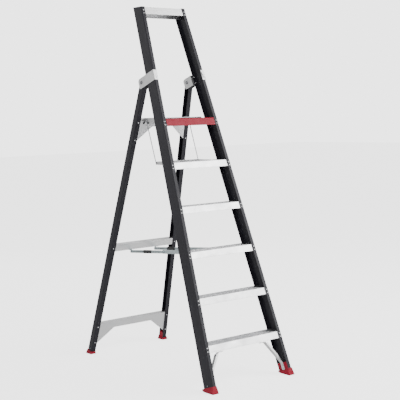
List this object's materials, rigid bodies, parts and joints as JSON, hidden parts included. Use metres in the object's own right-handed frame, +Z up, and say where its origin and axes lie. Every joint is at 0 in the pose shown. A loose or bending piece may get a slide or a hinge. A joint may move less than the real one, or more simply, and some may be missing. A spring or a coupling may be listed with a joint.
{
  "type": "step ladder",
  "caption": "One-sided folding step ladder with flat steps, a hinged standing deck, a tray shelf, a guard beam and a folding rear frame.",
  "frame": {"origin": "middle of the footprint, on the floor", "axes": "+X to the right across the width, the steps face -Y, +Z up"},
  "size_m": [0.589, 1.253, 2.082],
  "materials": {
    "black_frame": "satin charcoal powder coat",
    "step_aluminium": "ribbed mill finish",
    "beam_aluminium": "satin",
    "bar_aluminium": "satin",
    "deck_aluminium": "ribbed satin",
    "red_plastic": "satin moulded",
    "hinge_alloy": "brushed",
    "zinc_steel": "zinc plated",
    "black_plastic": "matt",
    "white_nylon": "matt",
    "rivet_alloy": "satin",
    "bright_steel": "turned"
  },
  "bodies": {
    "front_frame": {"left_stile": "black_frame", "right_stile": "black_frame", "guard_beam": "beam_aluminium", "step_1": "step_aluminium", "step_2": "step_aluminium", "step_3": "step_aluminium", "step_4": "step_aluminium", "step_5": "step_aluminium", "platform_step": "step_aluminium", "platform_nose": "red_plastic", "step_rivets": "rivet_alloy", "left_brace": "bar_aluminium", "right_brace": "bar_aluminium", "brace_rivets": "rivet_alloy", "left_front_foot": "red_plastic", "right_front_foot": "red_plastic", "front_foot_screws": "bright_steel", "left_hinge_strap": "hinge_alloy", "right_hinge_strap": "hinge_alloy", "left_hinge_plate": "hinge_alloy", "right_hinge_plate": "hinge_alloy", "left_hinge_bolt": "bright_steel", "right_hinge_bolt": "bright_steel", "hinge_rivets": "rivet_alloy", "deck_lugs": "hinge_alloy", "deck_pin": "bright_steel", "shelf_lugs": "hinge_alloy", "shelf_pin": "bright_steel", "strut_front_brackets": "zinc_steel", "strut_front_pins": "bright_steel"},
    "rear_frame": {"left_leg": "black_frame", "right_leg": "black_frame", "left_hinge_bush": "white_nylon", "right_hinge_bush": "white_nylon", "lower_crossbar": "bar_aluminium", "middle_crossbar": "bar_aluminium", "upper_crossbar": "bar_aluminium", "bar_buttons": "black_plastic", "leg_rivets": "rivet_alloy", "left_rear_foot": "red_plastic", "right_rear_foot": "red_plastic", "rear_foot_screws": "bright_steel", "strut_rear_brackets": "zinc_steel", "strut_rear_pins": "bright_steel"},
    "deck": {"deck": "deck_aluminium"},
    "shelf": {"shelf": "deck_aluminium"},
    "left_rod": {"left_rod": "bright_steel"},
    "left_front_link": {"left_front_link": "zinc_steel", "left_knuckle_rivet": "bright_steel"},
    "left_rear_link": {"left_rear_link": "zinc_steel", "left_sleeve": "black_plastic"},
    "right_rod": {"right_rod": "bright_steel"},
    "right_front_link": {"right_front_link": "zinc_steel", "right_knuckle_rivet": "bright_steel"},
    "right_rear_link": {"right_rear_link": "zinc_steel", "right_sleeve": "black_plastic"}
  },
  "joints": [
    {"name": "rear_frame_fold", "type": "hinge", "parent": "front_frame", "child": "rear_frame", "pos_m": [0, 0.09538, 1.64998], "axis": [-1, 0, 0], "range_deg": [0, 36.5]},
    {"name": "deck_tilt", "type": "hinge", "parent": "front_frame", "child": "deck", "pos_m": [0, -0.02258, 1.438], "axis": [1, 0, 0], "range_deg": [0, 70.52]},
    {"name": "shelf_tilt", "type": "hinge", "parent": "front_frame", "child": "shelf", "pos_m": [0, -0.10756, 1.188], "axis": [1, 0, 0], "range_deg": [0, 70.52]},
    {"name": "left_rod_swing", "type": "hinge", "parent": "deck", "child": "left_rod", "pos_m": [-0.15399, 0.09942, 1.438], "axis": [-1, 0, 0], "range_deg": [0, 70.52]},
    {"name": "left_front_link_fold", "type": "hinge", "parent": "front_frame", "child": "left_front_link", "pos_m": [-0.085, -0.27996, 0.694], "axis": [-1, 0, 0], "range_deg": [0, 103.04]},
    {"name": "left_rear_link_fold", "type": "hinge", "parent": "rear_frame", "child": "left_rear_link", "pos_m": [-0.085, 0.38972, 0.638], "axis": [1, 0, 0], "range_deg": [0, 110.03]},
    {"name": "right_rod_swing", "type": "hinge", "parent": "deck", "child": "right_rod", "pos_m": [0.15399, 0.09942, 1.438], "axis": [-1, 0, 0], "range_deg": [0, 70.52]},
    {"name": "right_front_link_fold", "type": "hinge", "parent": "front_frame", "child": "right_front_link", "pos_m": [0.085, -0.27996, 0.694], "axis": [-1, 0, 0], "range_deg": [0, 103.04]},
    {"name": "right_rear_link_fold", "type": "hinge", "parent": "rear_frame", "child": "right_rear_link", "pos_m": [0.085, 0.38972, 0.638], "axis": [1, 0, 0], "range_deg": [0, 110.03]}
  ],
  "couplings": [
    {"joint": "deck_tilt", "follows": "rear_frame_fold", "ratio": 1.9315},
    {"joint": "shelf_tilt", "follows": "rear_frame_fold", "ratio": 1.9315},
    {"joint": "left_rod_swing", "follows": "rear_frame_fold", "ratio": 1.9315},
    {"joint": "left_front_link_fold", "follows": "rear_frame_fold", "ratio": 2.8225},
    {"joint": "left_rear_link_fold", "follows": "rear_frame_fold", "ratio": 3.014},
    {"joint": "right_rod_swing", "follows": "rear_frame_fold", "ratio": 1.9315},
    {"joint": "right_front_link_fold", "follows": "rear_frame_fold", "ratio": 2.8225},
    {"joint": "right_rear_link_fold", "follows": "rear_frame_fold", "ratio": 3.014}
  ]
}
